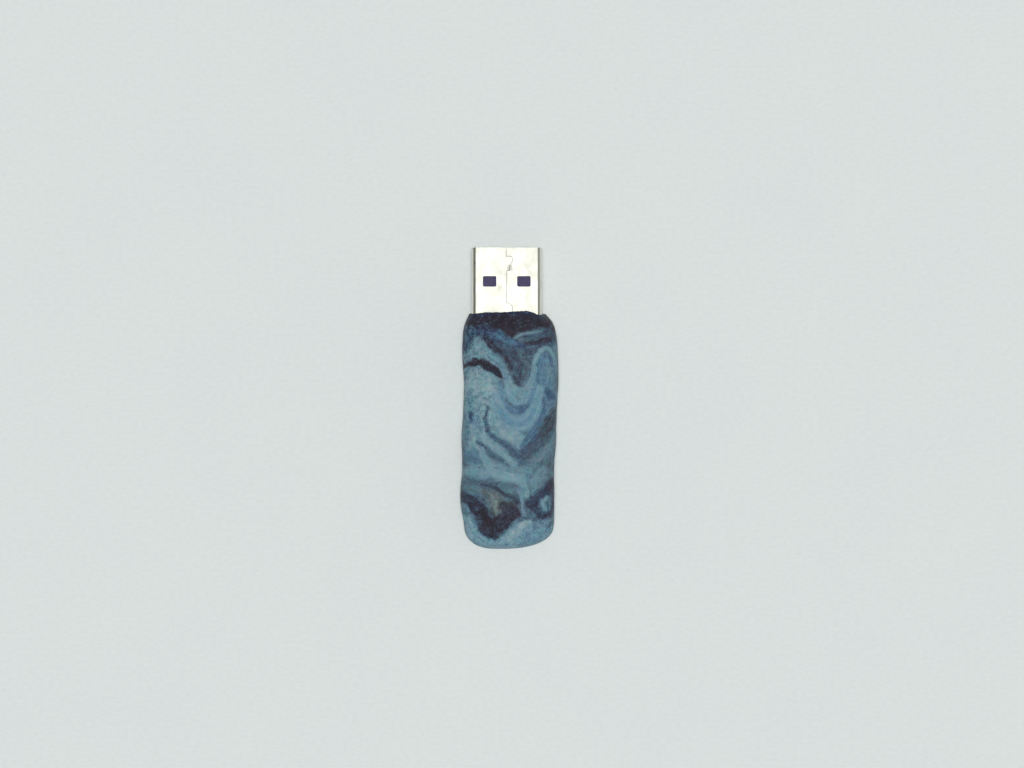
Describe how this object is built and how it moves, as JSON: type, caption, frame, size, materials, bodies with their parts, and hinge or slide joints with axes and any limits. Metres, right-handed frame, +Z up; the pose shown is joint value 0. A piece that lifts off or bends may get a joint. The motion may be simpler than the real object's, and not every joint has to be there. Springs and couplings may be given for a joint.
{
  "type": "usb flash drive",
  "caption": "USB stick with a bare metal plug in a hand-moulded, rounded body of marbled blue-grey polymer clay, with its circuit board and chips inside.",
  "frame": {"origin": "on the surface that the drive lies on, under the middle of its outline", "axes": "+Z up, out of the face that carries the plug's folded seam; +Y along the drive, towards the tip of the plug; +X to the right seen from above"},
  "size_m": [0.017, 0.0516, 0.0086],
  "materials": {
    "clay": "hand-moulded marbled polymer clay, satin-matt, teal, slate blue and near-black swirls",
    "shell": "bright nickel-plated folded steel",
    "insulator": "black moulded plastic",
    "contact": "gold-plated strip",
    "board": "green solder mask with plated pads",
    "chip": "black moulded chip package with tinned leads",
    "crystal": "bright metal can",
    "capacitor": "tan ceramic with tinned ends",
    "resistor": "black coated ceramic with tinned ends",
    "lamp": "clear cast lens on a white base",
    "solder": "bright solder",
    "epoxy": "amber epoxy"
  },
  "bodies": {
    "root": {"clay_sleeve": "clay", "plug_shell": "shell", "plug_insulator": "insulator", "contact_vbus": "contact", "contact_data_minus": "contact", "contact_data_plus": "contact", "contact_ground": "contact", "solder_vbus": "solder", "solder_data_minus": "solder", "solder_data_plus": "solder", "solder_ground": "solder", "circuit_board": "board", "memory_chip": "chip", "controller_chip": "chip", "voltage_regulator": "chip", "crystal_can": "crystal", "activity_led": "lamp", "input_capacitor": "capacitor", "output_capacitor": "capacitor", "ferrite_bead": "resistor", "data_resistor_1": "resistor", "data_resistor_2": "resistor", "crystal_capacitor_1": "capacitor", "crystal_capacitor_2": "capacitor", "memory_capacitor": "capacitor", "lamp_resistor": "resistor", "shell_solder_left": "solder", "shell_solder_right": "solder", "epoxy_dab": "epoxy"}
  },
  "joints": []
}
